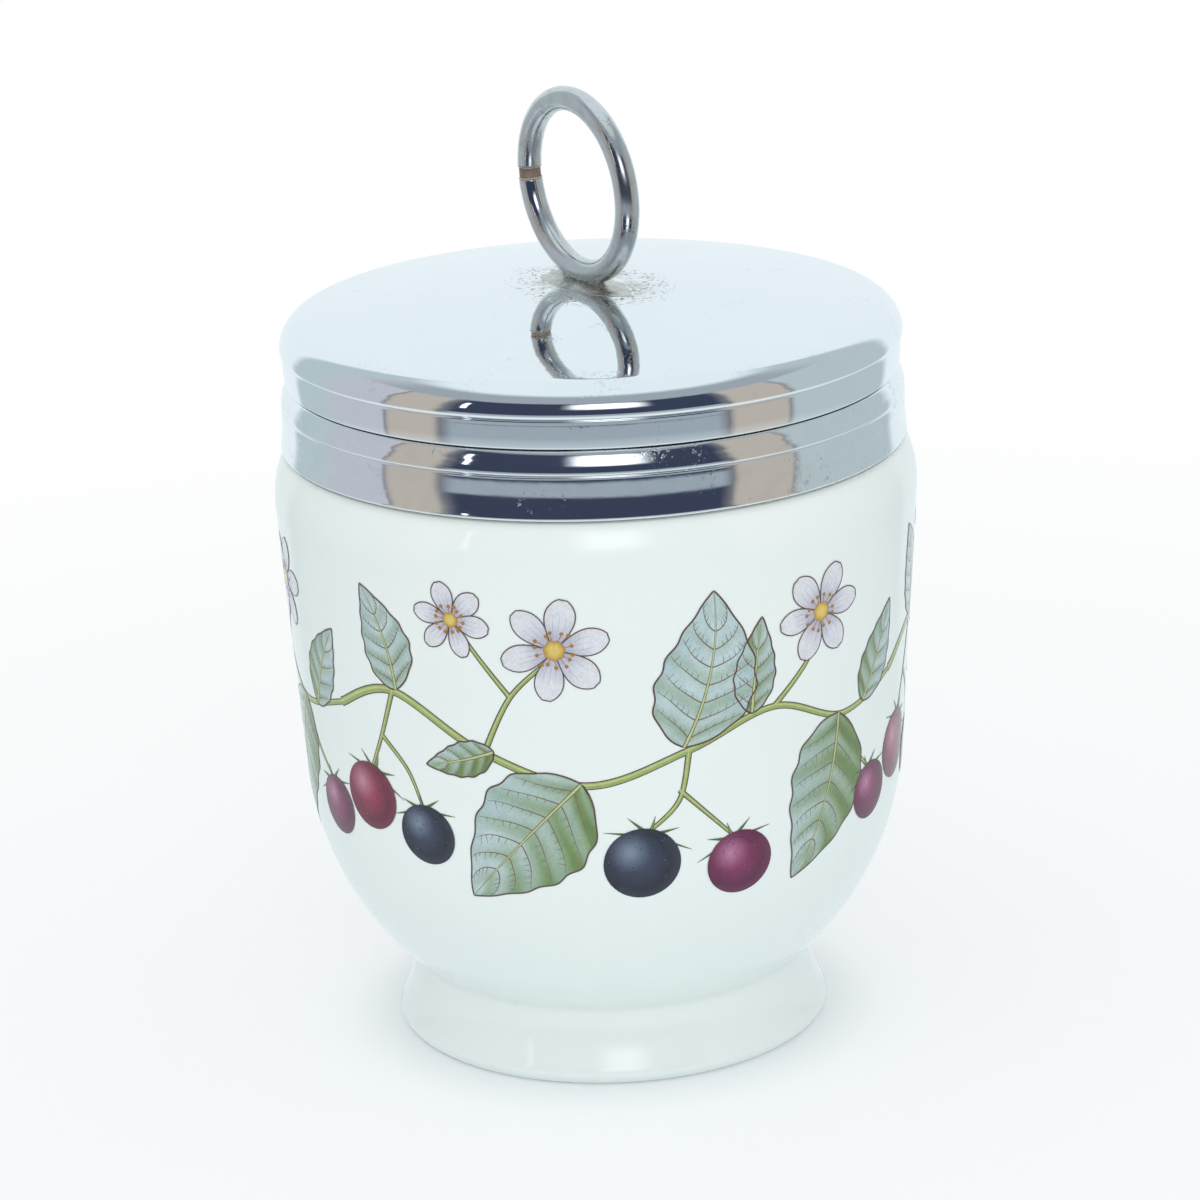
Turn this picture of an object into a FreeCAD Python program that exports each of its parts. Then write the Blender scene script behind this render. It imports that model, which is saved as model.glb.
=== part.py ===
import FreeCAD, Part
import math
import os
import Sketcher

# Porcelain egg coddler with a screw lid. Lengths are in millimetres.
# The origin is the centre of the foot's rest face, +Z is up, and the lifting ring stands along X.

DIMENSIONS = {
    # Foot ring, and the recess inside it
    "foot_radius": 22.05,
    "foot_bevel": 1.05,
    "foot_edge_height": 1.3,
    "foot_land_width": 1.5,
    "foot_waist_inset": 1.75,
    "foot_waist_height": 7.6,
    "foot_recess_depth": 3.6,
    "foot_recess_inset": 0.9,
    "foot_recess_round": 1.1,
    "foot_land_round": 0.6,
    # Cup: round bowl bottom, tapered wall and shoulder
    "bowl_top_height": 28.0,
    "wall_taper": 1.8,
    "shoulder_height": 61.3,
    "shoulder_fall": 6.3,
    "shoulder_overhang": 1.05,
    "shoulder_edge": 0.3,
    "shoulder_bevel": 0.1,
    "cup_wall": 3.3,
    "cup_floor_height": 8.0,
    "cup_floor_flat": 5.0,
    # Plain neck and rim, and the mouth inside them
    "neck_radius": 27.6,
    "neck_wall": 2.9,
    "neck_root_round": 0.6,
    "rim_rise": 0.15,
    "rim_round": 0.8,
    "mouth_foot": 1.5,
    "mouth_fall": 1.0,
    # Collar: plated band, bead, flange and screw neck, bedded in cement
    "collar_sheet": 0.6,
    "collar_lift": 0.2,
    "collar_foot_round": 0.75,
    "collar_band": 4.5,
    "collar_crease": 0.3,
    "collar_step": 0.15,
    "collar_bead_height": 1.2,
    "collar_top_band": 0.85,
    "flange_width": 2.25,
    "flange_bevel": 0.2,
    "screw_root_round": 0.4,
    "screw_top_bevel": 0.25,
    "screw_top_gap": 0.45,
    "cement_gap": 0.6,
    "cement_top_gap": 0.5,
    # Lid: dome, shoulder, bead and smooth skirt pressed from one sheet
    "seam_gap": 0.5,
    "lid_sheet": 0.5,
    "lid_bead": 0.55,
    "lid_bead_height": 1.85,
    "lid_skirt_step": 0.28,
    "lid_skirt_height": 2.85,
    "lid_skirt_bend": 0.3,
    "lid_edge_round": 0.35,
    "lid_shoulder_width": 3.85,
    "lid_shoulder_rise": 2.1,
    "dome_radius": 250.0,
    # Thread ring soldered inside the skirt, and the washer over the rim
    "thread_gap": 0.65,
    "thread_ring_wall": 0.47,
    "thread_ring_fit": 0.03,
    "thread_ring_lift": 0.6,
    "thread_ring_lip": 0.6,
    "thread_ring_step": 0.2,
    "thread_ring_top_gap": 0.5,
    "washer_inset": 0.2,
    "washer_overhang": 1.2,
    "washer_edge": 0.2,
    "washer_bevel": 1.6,
    "washer_top_gap": 0.4,
    # Lifting ring: one bent wire, its brazed butt and the solder under it
    "wire_radius": 1.2,
    "ring_radius": 8.68,
    "ring_seat_gap": 0.05,
    "ring_lean": 3.0,
    "ring_offset": 0.4,
    "butt_gap": 1.4,
    "braze_inset": 0.12,
    "solder_depth": 0.6,
    "solder_cling": 0.4,
    "solder_peak_angle": 34.0,
    "solder_end_angle": 17.0,
    "solder_toe": 0.8,
    "solder_web_width": 2.2,
    "solder_pad_length": 12.5,
    "solder_pad_width": 5.0,
    "solder_pad_height": 0.4,
    "solder_slope": 55.0,
}

doc = FreeCAD.newDocument("egg_coddler")
sheet = doc.addObject("Spreadsheet::Sheet", "Sheet")


def fill_sheet():
    """Write each driving dimension as plain number text, and name its cell."""
    for row, (name, size) in enumerate(DIMENSIONS.items(), start=1):
        sheet.set("A%d" % row, name)
        sheet.set("B%d" % row, repr(size))
        sheet.setAlias("B%d" % row, name)
    doc.recompute()


fill_sheet()


def cell(expression):
    """Put the sheet's name before each dimension in an expression."""
    words = []
    word = ""
    for letter in expression + " ":
        if letter.isalnum() or letter == "_":
            word += letter
            continue
        words.append("Sheet." + word if word in DIMENSIONS else word)
        words.append(letter)
        word = ""
    return "".join(words).strip()


def size(expression):
    """Work out an expression's value now, to draw with."""
    return float(sheet.evalExpression(cell(expression)))


# Heights and radii that several pieces share, each worked out from the dimensions above

COLLAR_FOOT = "(shoulder_height + collar_lift)"
BAND_TOP = "(%s + collar_band)" % COLLAR_FOOT
COLLAR_BEAD_TOP = "(%s + collar_step + collar_bead_height)" % BAND_TOP
FLANGE_TOP = "(%s + collar_top_band)" % COLLAR_BEAD_TOP
UNDER_FLANGE = "(%s - collar_sheet)" % FLANGE_TOP
SKIRT_FOOT = "(%s + seam_gap)" % FLANGE_TOP
LOW_CREASE = "(%s + lid_skirt_height)" % SKIRT_FOOT
HIGH_CREASE = "(%s + lid_bead_height)" % LOW_CREASE
RIM_TOP = "(%s + rim_rise)" % HIGH_CREASE
SCREW_TOP = "(%s - screw_top_gap)" % RIM_TOP

MOUTH_RADIUS = "(neck_radius - neck_wall)"
SCREW_INNER = "(neck_radius + cement_gap)"
SCREW_OUTER = "(%s + collar_sheet)" % SCREW_INNER
COLLAR_RADIUS = "(%s + flange_width)" % SCREW_OUTER
COLLAR_INNER = "(%s - collar_sheet)" % COLLAR_RADIUS
WALL_TOP_RADIUS = "(%s + shoulder_overhang)" % COLLAR_RADIUS
WALL_TOP_HEIGHT = "(shoulder_height - shoulder_fall)"
BOWL_TOP_RADIUS = "(%s - wall_taper)" % WALL_TOP_RADIUS
THREAD_RING_INNER = "(%s + thread_gap)" % SCREW_OUTER
THREAD_RING_OUTER = "(%s + thread_ring_wall)" % THREAD_RING_INNER
LID_CREASE = "(%s + thread_ring_fit + lid_sheet)" % THREAD_RING_OUTER
SKIRT_RADIUS = "(%s + lid_bead - lid_skirt_step)" % LID_CREASE
SKIRT_INNER = "(%s - lid_sheet)" % SKIRT_RADIUS

DOME_EDGE = "(%s - lid_shoulder_width)" % LID_CREASE
DOME_EDGE_HEIGHT = "(%s + lid_shoulder_rise)" % HIGH_CREASE
DOME_TOP = "(%s + dome_radius - sqrt(dome_radius^2 - %s^2))" % (DOME_EDGE_HEIGHT, DOME_EDGE)
RING_OUTER = "(ring_radius + wire_radius)"
RING_FOOT = "(%s + ring_seat_gap)" % DOME_TOP
BUTT_ANGLE = "(butt_gap / ring_radius * 180 / pi)"


def plane_of(body, role):
    """Find one of a body's own origin planes."""
    for feature in body.Origin.OriginFeatures:
        if feature.Role == role:
            return feature
    raise ValueError(role)


def new_body(name):
    body = doc.addObject("PartDesign::Body", name)
    body.Label = name
    return body


def new_sketch(body, name, role):
    sketch = body.newObject("Sketcher::SketchObject", name)
    sketch.AttachmentSupport = (plane_of(body, role), [""])
    sketch.MapMode = "FlatFace"
    return sketch


def bind(sketch, constraint, expression):
    """Add a constraint that follows an expression of the sheet's cells."""
    index = sketch.addConstraint(constraint)
    sketch.setExpression("Constraints[%d]" % index, cell(expression))


def arc_between(start, end, bulge):
    """Arc between two points. A positive bulge turns left; the bulge is its rise over half its chord."""
    chord = end - start
    half = chord.Length / 2
    radius = half * (1 + bulge * bulge) / (2 * abs(bulge))
    middle = (start + end) * 0.5
    left = FreeCAD.Vector(-chord.y, chord.x, 0).normalize()
    centre = middle + left * (half * (1 - bulge * bulge) / (2 * bulge))
    first, last = (start, end) if bulge > 0 else (end, start)
    first_angle = math.atan2(first.y - centre.y, first.x - centre.x)
    last_angle = math.atan2(last.y - centre.y, last.x - centre.x)
    circle = Part.Circle(centre, FreeCAD.Vector(0, 0, 1), radius)
    return Part.ArcOfCircle(circle, first_angle, last_angle)


def draw_outline(sketch, steps):
    """Draw a closed outline. Each step is (x, y) for a straight run to that corner from the one
    before it, or (x, y, bulge) for an arc to it. The first step closes the outline. An arc that
    ends on the axis, or starts there, is centred on it."""
    corners = [FreeCAD.Vector(size(step[0]), size(step[1]), 0) for step in steps]
    ends = []
    for index, step in enumerate(steps):
        start, end = corners[index - 1], corners[index]
        if len(step) == 2:
            line = sketch.addGeometry(Part.LineSegment(start, end), False)
            ends.append((line, 1, 2))
            continue
        bulge = step[2]
        arc = sketch.addGeometry(arc_between(start, end, bulge), False)
        ends.append((arc, 1, 2) if bulge > 0 else (arc, 2, 1))
    for index, (geometry, _, last) in enumerate(ends):
        following, first, _ = ends[(index + 1) % len(ends)]
        sketch.addConstraint(Sketcher.Constraint("Coincident", geometry, last, following, first))
        place_corner(sketch, geometry, last, corners[index], steps[index])
    for index, step in enumerate(steps):
        before = steps[index - 1]
        if len(step) == 3 and 0 in (corners[index].x, corners[index - 1].x):
            sketch.addConstraint(Sketcher.Constraint("PointOnObject", ends[index][0], 3, -2))
        elif len(step) == 3:
            runs = (step[0], before[0], step[1], before[1])
            chord = "sqrt(((%s) - (%s))^2 + ((%s) - (%s))^2)" % runs
            share = (1 + step[2] ** 2) / (4 * abs(step[2]))
            geometry = ends[index][0]
            radius = sketch.Geometry[geometry].Radius
            bind(sketch, Sketcher.Constraint("Radius", geometry, radius), "%s * %r" % (chord, share))


def place_corner(sketch, geometry, point, corner, step):
    """Hold a corner at its two coordinates, or on an axis where a coordinate is zero."""
    if corner.x == 0:
        sketch.addConstraint(Sketcher.Constraint("PointOnObject", geometry, point, -2))
    else:
        bind(sketch, Sketcher.Constraint("DistanceX", -1, 1, geometry, point, corner.x), step[0])
    if corner.y == 0:
        sketch.addConstraint(Sketcher.Constraint("PointOnObject", geometry, point, -1))
    else:
        bind(sketch, Sketcher.Constraint("DistanceY", -1, 1, geometry, point, corner.y), step[1])


def turned_body(name, steps):
    """Body turned about Z from an outline whose x is a radius and whose y is a height."""
    body = new_body(name)
    sketch = new_sketch(body, name + "_outline", "XZ_Plane")
    draw_outline(sketch, steps)
    turning = body.newObject("PartDesign::Revolution", name + "_turning")
    turning.Profile = sketch
    turning.ReferenceAxis = (sketch, ["V_Axis"])
    turning.Angle = 360
    return body


# Bulges of the arcs: a quarter turn, then the swell of each curve of the outlines

QUARTER = math.tan(math.radians(90 / 4))
FOOT_EDGE_SWELL = 0.35
FOOT_WAIST_SWELL = 0.12
BOWL_SWELL = 0.197
CUP_SHOULDER_SWELL = 0.16
MOUTH_SWELL = 0.2
INNER_BOWL_SWELL = 0.38
COLLAR_FOOT_SWELL = 0.7
COLLAR_BEAD_SWELL = 0.6
LID_BEAD_SWELL = 0.595
LID_SHOULDER_SWELL = 0.18
INNER_BEAD_SWELL = 0.5
SOLDER_END_SWELL = 0.8


def make_cup():
    """Porcelain cup: foot ring with a recess, round bottom, tapered wall, shoulder, neck and rim."""
    land_outer = "(foot_radius - foot_bevel)"
    land_inner = "(%s - foot_land_width)" % land_outer
    recess_radius = "(%s - foot_recess_inset)" % land_inner
    inner_wall_top = "(%s - cup_wall)" % WALL_TOP_RADIUS
    inner_wall_height = "(%s - mouth_fall)" % WALL_TOP_HEIGHT
    mouth_foot = "(shoulder_height + mouth_foot)"
    return turned_body("cup", [
        (land_outer, "0"),
        ("foot_radius", "foot_edge_height", FOOT_EDGE_SWELL),
        ("foot_radius - foot_waist_inset", "foot_waist_height", -FOOT_WAIST_SWELL),
        (BOWL_TOP_RADIUS, "bowl_top_height", BOWL_SWELL),
        (WALL_TOP_RADIUS, WALL_TOP_HEIGHT),
        ("%s - shoulder_bevel" % COLLAR_RADIUS, "shoulder_height - shoulder_bevel", CUP_SHOULDER_SWELL),
        ("%s - shoulder_bevel - shoulder_edge" % COLLAR_RADIUS, "shoulder_height"),
        ("neck_radius + neck_root_round", "shoulder_height"),
        ("neck_radius", "shoulder_height + neck_root_round"),
        ("neck_radius", "%s - rim_round" % RIM_TOP),
        ("neck_radius - rim_round", RIM_TOP, QUARTER),
        ("%s + rim_round" % MOUTH_RADIUS, RIM_TOP),
        (MOUTH_RADIUS, "%s - rim_round" % RIM_TOP, QUARTER),
        (MOUTH_RADIUS, mouth_foot),
        ("(%s + %s) / 2" % (MOUTH_RADIUS, inner_wall_top),
         "(%s + %s) / 2" % (mouth_foot, inner_wall_height), MOUTH_SWELL),
        (inner_wall_top, inner_wall_height, -MOUTH_SWELL),
        ("%s - cup_wall" % BOWL_TOP_RADIUS, "bowl_top_height"),
        ("cup_floor_flat", "cup_floor_height", -INNER_BOWL_SWELL),
        ("0", "cup_floor_height"),
        ("0", "foot_recess_depth"),
        ("%s - foot_recess_round" % recess_radius, "foot_recess_depth"),
        (recess_radius, "foot_recess_depth - foot_recess_round", -QUARTER),
        ("%s - foot_land_round" % land_inner, "foot_land_round"),
        (land_inner, "0"),
    ])


def make_collar():
    """Plated collar: rolled foot, plain band, crease, bead, flange and the neck that takes the lid."""
    bead_radius = "(%s - collar_crease)" % COLLAR_RADIUS
    return turned_body("collar", [
        (COLLAR_INNER, COLLAR_FOOT),
        (COLLAR_RADIUS, COLLAR_FOOT),
        (COLLAR_RADIUS, "%s + collar_foot_round" % COLLAR_FOOT, COLLAR_FOOT_SWELL),
        (COLLAR_RADIUS, BAND_TOP),
        (bead_radius, "%s + collar_step" % BAND_TOP),
        (bead_radius, COLLAR_BEAD_TOP, COLLAR_BEAD_SWELL),
        (bead_radius, "%s - flange_bevel" % FLANGE_TOP),
        ("%s - flange_bevel" % bead_radius, FLANGE_TOP),
        ("%s + screw_root_round" % SCREW_OUTER, FLANGE_TOP),
        (SCREW_OUTER, "%s + screw_root_round" % FLANGE_TOP, -QUARTER),
        (SCREW_OUTER, "%s - screw_top_bevel" % SCREW_TOP),
        ("%s - screw_top_bevel" % SCREW_OUTER, SCREW_TOP),
        (SCREW_INNER, SCREW_TOP),
        (SCREW_INNER, UNDER_FLANGE),
        (COLLAR_INNER, UNDER_FLANGE),
    ])


def make_cement():
    """Bedding cement that fills the space between the porcelain neck and the collar."""
    top = "(%s - cement_top_gap)" % SCREW_TOP
    return turned_body("collar_cement", [
        (COLLAR_INNER, "shoulder_height"),
        (COLLAR_INNER, UNDER_FLANGE),
        (SCREW_INNER, UNDER_FLANGE),
        (SCREW_INNER, top),
        ("neck_radius", top),
        ("neck_radius", "shoulder_height + neck_root_round"),
        ("neck_radius + neck_root_round", "shoulder_height"),
    ])


def make_lid_shell():
    """Pressed lid: rolled skirt edge, smooth skirt, bead between two creases, shoulder and dome."""
    inner_edge = "(%s * (1 - lid_sheet / dome_radius))" % DOME_EDGE
    fall = "(%s - %s)" % (DOME_TOP, DOME_EDGE_HEIGHT)
    inner_top = "(%s - lid_sheet)" % DOME_TOP
    inner_edge_height = "(%s - %s * (1 - lid_sheet / dome_radius))" % (inner_top, fall)
    inner_crease = "(%s - lid_sheet)" % LID_CREASE
    bend = "(%s - lid_skirt_bend)" % LOW_CREASE
    dome_swell = math.tan(math.asin(size(DOME_EDGE) / size("dome_radius")) / 4)
    return turned_body("lid_shell", [
        (SKIRT_INNER, SKIRT_FOOT),
        ("%s - lid_edge_round" % SKIRT_RADIUS, SKIRT_FOOT),
        (SKIRT_RADIUS, "%s + lid_edge_round" % SKIRT_FOOT, QUARTER),
        (SKIRT_RADIUS, bend),
        (LID_CREASE, LOW_CREASE),
        (LID_CREASE, HIGH_CREASE, LID_BEAD_SWELL),
        (DOME_EDGE, DOME_EDGE_HEIGHT, LID_SHOULDER_SWELL),
        ("0", DOME_TOP, dome_swell),
        ("0", inner_top),
        (inner_edge, inner_edge_height, -dome_swell),
        (inner_crease, "%s - lid_skirt_bend" % HIGH_CREASE, -LID_SHOULDER_SWELL),
        (inner_crease, "%s + lid_skirt_bend" % LOW_CREASE, -INNER_BEAD_SWELL),
        (SKIRT_INNER, bend),
    ])


def make_thread_ring():
    """Ring that carries the lid's thread, with a lip that is soldered to the skirt's inside."""
    foot = "(%s + thread_ring_lift)" % SKIRT_FOOT
    top = "(%s - thread_ring_top_gap)" % HIGH_CREASE
    return turned_body("lid_thread_ring", [
        (THREAD_RING_INNER, foot),
        (SKIRT_INNER, foot),
        (SKIRT_INNER, "%s + thread_ring_lip" % foot),
        (THREAD_RING_OUTER, "%s + thread_ring_lip + thread_ring_step" % foot),
        (THREAD_RING_OUTER, top),
        (THREAD_RING_INNER, top),
    ])


def make_washer():
    """Sealing washer between the rim and the dome, bevelled to lie under the lid's shoulder."""
    inner = "(%s + washer_inset)" % MOUTH_RADIUS
    outer = "(neck_radius + washer_overhang)"
    top = "(%s - lid_sheet - washer_top_gap)" % DOME_EDGE_HEIGHT
    return turned_body("lid_seal", [
        (inner, RIM_TOP),
        (outer, RIM_TOP),
        (outer, "%s + washer_edge" % RIM_TOP),
        ("%s - washer_bevel" % outer, top),
        (inner, top),
    ])


def stand_on_dome(feature):
    """Stand a piece of the ring on the dome, a little behind its centre and leaning out of upright."""
    lean = "(ring_lean * pi / 180)"
    out = "-(ring_offset + %s * sin(%s * 1 rad))" % (RING_OUTER, lean)
    up = "%s + %s * cos(%s * 1 rad)" % (RING_FOOT, RING_OUTER, lean)
    feature.Placement.Rotation = FreeCAD.Rotation(FreeCAD.Vector(1, 0, 0), DIMENSIONS["ring_lean"])
    feature.setExpression("Placement.Base.y", cell(out))
    feature.setExpression("Placement.Base.z", cell(up))
    feature.setExpression("Placement.Rotation.Angle", cell("ring_lean * 1 deg"))


def bent_wire(name, side, radius, angle):
    """Round wire bent about the ring's axis, half of its angle each way from one side of the ring."""
    body = new_body(name)
    sketch = new_sketch(body, name + "_section", "XY_Plane")
    place = FreeCAD.Vector(side * size("ring_radius"), 0, 0)
    circle = sketch.addGeometry(Part.Circle(place, FreeCAD.Vector(0, 0, 1), size(radius)), False)
    sketch.addConstraint(Sketcher.Constraint("PointOnObject", circle, 3, -1))
    if side > 0:
        reach = Sketcher.Constraint("DistanceX", -1, 1, circle, 3, abs(place.x))
    else:
        reach = Sketcher.Constraint("DistanceX", circle, 3, -1, 1, abs(place.x))
    bind(sketch, reach, "ring_radius")
    bind(sketch, Sketcher.Constraint("Radius", circle, size(radius)), radius)
    bend = body.newObject("PartDesign::Revolution", name + "_bend")
    bend.Profile = sketch
    bend.ReferenceAxis = (sketch, ["V_Axis"])
    bend.Midplane = True
    bend.setExpression("Angle", cell(angle))
    stand_on_dome(body)
    return body


def make_lifting_ring():
    """Lifting ring bent from one wire, open where its two ends meet."""
    return bent_wire("lifting_ring", 1, "wire_radius", "360 - " + BUTT_ANGLE)


def make_butt_braze():
    """Brazing metal between the two ends of the ring's wire."""
    return bent_wire("ring_butt_braze", -1, "wire_radius - braze_inset", BUTT_ANGLE)


def make_solder_web():
    """Solder drawn up under the wire, higher on one leg, as a plate along the ring."""
    body = new_body("solder_web")
    sketch = new_sketch(body, "solder_web_outline", "XZ_Plane")
    cling = "(ring_radius + solder_cling)"
    centre = "(%s + %s)" % (RING_FOOT, RING_OUTER)
    peak_angle = "(solder_peak_angle * 1 deg)"
    end_angle = "(solder_end_angle * 1 deg)"
    peak = "(%s * sin(%s))" % (cling, peak_angle)
    end = "(%s * sin(%s))" % (cling, end_angle)
    below = "(%s - solder_depth)" % DOME_TOP
    span = math.radians(DIMENSIONS["solder_peak_angle"] + DIMENSIONS["solder_end_angle"])
    draw_outline(sketch, [
        ("-%s - solder_toe" % peak, below),
        ("%s + solder_toe" % end, below),
        (end, "%s - %s * cos(%s)" % (centre, cling, end_angle)),
        ("-" + peak, "%s - %s * cos(%s)" % (centre, cling, peak_angle), -math.tan(span / 4)),
    ])
    plate = body.newObject("PartDesign::Pad", "solder_web_plate")
    plate.Profile = sketch
    plate.Midplane = True
    plate.setExpression("Length", cell("solder_web_width"))
    body.setExpression("Placement.Base.y", cell("-ring_offset"))
    return body


def make_solder_pad():
    """Low pad of solder on the dome, with round ends and sloping sides."""
    body = new_body("solder_pad")
    sketch = new_sketch(body, "solder_pad_outline", "XY_Plane")
    straight = "((solder_pad_length - solder_pad_width) / 2)"
    draw_outline(sketch, [
        (straight, "-solder_pad_width / 2"),
        (straight, "solder_pad_width / 2", SOLDER_END_SWELL),
        ("-" + straight, "solder_pad_width / 2"),
        ("-" + straight, "-solder_pad_width / 2", SOLDER_END_SWELL),
    ])
    slab = body.newObject("PartDesign::Pad", "solder_pad_slab")
    slab.Profile = sketch
    slab.setExpression("Length", cell("solder_depth + solder_pad_height"))
    slab.setExpression("TaperAngle", cell("-solder_slope"))
    body.setExpression("Placement.Base.y", cell("-ring_offset"))
    body.setExpression("Placement.Base.z", cell("%s - solder_depth" % DOME_TOP))
    return body


def make_ring_solder():
    """Solder that holds the ring to the dome, cut to the dome below it and the wire in it."""
    mass = doc.addObject("Part::Fuse", "solder_mass")
    mass.Base = make_solder_pad()
    mass.Tool = make_solder_web()
    dome = doc.addObject("Part::Sphere", "dome_below_solder")
    dome.setExpression("Radius", cell("dome_radius"))
    dome.Placement.Rotation = FreeCAD.Rotation(FreeCAD.Vector(1, 0, 0), 90)
    dome.setExpression("Placement.Base.z", cell("%s - dome_radius" % DOME_TOP))
    seated = doc.addObject("Part::Cut", "solder_on_dome")
    seated.Base = mass
    seated.Tool = dome
    holder = doc.addObject("Part::Cut", "ring_solder")
    holder.Base = seated
    holder.Tool = make_wire_space()
    holder.Label = "ring_solder"
    return holder


def make_wire_space():
    """Whole ring of wire, which the solder is cut to."""
    body = new_body("wire_space")
    sketch = new_sketch(body, "wire_space_section", "XY_Plane")
    place = FreeCAD.Vector(size("ring_radius"), 0, 0)
    circle = sketch.addGeometry(Part.Circle(place, FreeCAD.Vector(0, 0, 1), size("wire_radius")), False)
    sketch.addConstraint(Sketcher.Constraint("PointOnObject", circle, 3, -1))
    bind(sketch, Sketcher.Constraint("DistanceX", -1, 1, circle, 3, place.x), "ring_radius")
    bind(sketch, Sketcher.Constraint("Radius", circle, size("wire_radius")), "wire_radius")
    bend = body.newObject("PartDesign::Revolution", "wire_space_bend")
    bend.Profile = sketch
    bend.ReferenceAxis = (sketch, ["V_Axis"])
    bend.Angle = 360
    stand_on_dome(body)
    return body


PIECES = [
    make_cup(),
    make_collar(),
    make_cement(),
    make_lid_shell(),
    make_thread_ring(),
    make_washer(),
    make_lifting_ring(),
    make_butt_braze(),
    make_ring_solder(),
]
doc.recompute()

for feature in doc.Objects:
    if "Invalid" in feature.State or "Error" in feature.State:
        raise RuntimeError("%s didn't build: %s" % (feature.Name, feature.State))

os.makedirs("parts", exist_ok=True)
for piece in PIECES:
    shape = piece.Shape
    if shape.isNull() or not shape.isValid():
        raise RuntimeError("%s has no valid shape" % piece.Label)
    shape.exportStep("parts/%s.step" % piece.Label)
    box = shape.BoundBox
    print("%-16s solids %d volume %9.2f mm3 z %.2f to %.2f"
          % (piece.Label, len(shape.Solids), shape.Volume, box.ZMin, box.ZMax))
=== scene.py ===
import bpy
import math
import random
from mathutils import Matrix, Vector


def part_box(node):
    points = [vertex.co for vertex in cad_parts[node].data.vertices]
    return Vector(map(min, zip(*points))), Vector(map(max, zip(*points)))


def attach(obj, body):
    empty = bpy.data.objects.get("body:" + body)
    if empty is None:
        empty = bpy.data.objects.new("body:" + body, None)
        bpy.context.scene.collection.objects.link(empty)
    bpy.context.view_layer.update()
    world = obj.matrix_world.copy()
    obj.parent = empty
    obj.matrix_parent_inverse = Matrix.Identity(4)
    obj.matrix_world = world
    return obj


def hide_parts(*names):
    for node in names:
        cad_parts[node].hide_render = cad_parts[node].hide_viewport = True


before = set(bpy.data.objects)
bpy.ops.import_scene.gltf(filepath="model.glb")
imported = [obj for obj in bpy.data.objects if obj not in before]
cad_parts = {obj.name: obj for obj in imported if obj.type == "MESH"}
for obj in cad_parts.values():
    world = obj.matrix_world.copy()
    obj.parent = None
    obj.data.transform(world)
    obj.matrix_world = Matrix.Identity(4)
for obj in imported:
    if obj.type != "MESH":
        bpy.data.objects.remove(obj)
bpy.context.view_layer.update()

MM = 0.001

# Sizes in millimetres, with heights read from the frame where it has them
FOOT_RADIUS = 22.05
NECK_RADIUS = 27.6
MOUTH_RADIUS = 24.7
SHOULDER_HEIGHT = 61.3
RIM_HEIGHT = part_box("cup")[1].z / MM
COLLAR_RADIUS = 31.05
COLLAR_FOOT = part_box("collar")[0].z / MM
FLANGE_TOP = COLLAR_FOOT + 6.7
SCREW_INNER = 28.2
SCREW_OUTER = 28.8
SCREW_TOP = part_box("collar")[1].z / MM
SKIRT_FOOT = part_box("lid_shell")[0].z / MM
SKIRT_RADIUS = 30.72
SKIRT_DROP = 0.38
LID_CREASE = 30.45
LOW_CREASE = SKIRT_FOOT + 2.85
HIGH_CREASE = LOW_CREASE + 1.85
DOME_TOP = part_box("lid_shell")[1].z / MM
DOME_RADIUS = 175.0
SHEET = 0.5
THREAD_RING_INNER = 29.45
THREAD_RING_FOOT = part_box("lid_thread_ring")[0].z / MM
THREAD_RING_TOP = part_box("lid_thread_ring")[1].z / MM
PITCH = 3.0
THREAD_RUN_OUT = 0.5
THREAD_STEP = 0.12
WIRE_RADIUS = 1.2
RING_RADIUS = 8.68
RING_OFFSET = 0.4
RING_LEAN = math.radians(3.0)
RING_LIFT = 0.05
BUTT_GAP = 1.4
BUTT_RIM = 0.16

# Bulge of a quarter circle: the rise of an arc over half its chord
QUARTER = math.tan(math.radians(90 / 4))

# Turn of the camera from -Y towards +X
CAMERA_AZIMUTH = math.radians(57.1)

# Corners round a turned piece, short run that keeps a corner crisp, and fewest steps of an arc
ROUND = 288
CRISP_RUN = 0.03
FEWEST_ARC_STEPS = 5

random.seed(11)


def arc_points(start, end, bulge, step):
    """Points along an arc, after its start. The bulge is the arc's rise over half its chord."""
    (x0, y0), (x1, y1) = start, end
    turn = 4 * math.atan(bulge)
    half = math.hypot(x1 - x0, y1 - y0) / 2
    radius = half * (1 + bulge * bulge) / (2 * abs(bulge))
    offset = (1 - bulge * bulge) / (2 * bulge)
    cx = (x0 + x1) / 2 - (y1 - y0) / 2 * offset
    cy = (y0 + y1) / 2 + (x1 - x0) / 2 * offset
    first = math.atan2(y0 - cy, x0 - cx)
    count = max(FEWEST_ARC_STEPS, round(radius * abs(turn) / step))
    angles = [first + turn * k / count for k in range(1, count + 1)]
    return [(cx + radius * math.cos(a), cy + radius * math.sin(a)) for a in angles]


def line_points(start, end, step):
    """Points along a straight run, after its start, closer at both of its ends."""
    (x0, y0), (x1, y1) = start, end
    length = math.hypot(x1 - x0, y1 - y0)
    count = max(1, round(length / step))
    shares = [k / count for k in range(1, count + 1)]
    crisp = min(CRISP_RUN, length / 4) / length
    shares = sorted(set([crisp, 1 - crisp] + shares))
    return [(x0 + (x1 - x0) * s, y0 + (y1 - y0) * s) for s in shares]


def outline_points(steps, step):
    """Points of an outline whose steps are (radius, height) or (radius, height, bulge)."""
    points = [steps[0][:2]]
    for before, after in zip(steps, steps[1:]):
        if len(after) == 3:
            points += arc_points(before[:2], after[:2], after[2], step)
        else:
            points += line_points(before[:2], after, step)
    return points


def band(low, high, count):
    """Faces between two rings of corners, from the first corner of each."""
    pairs = [(k, (k + 1) % count) for k in range(count)]
    return [(low + k, high + k, high + after, low + after) for k, after in pairs]


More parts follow.
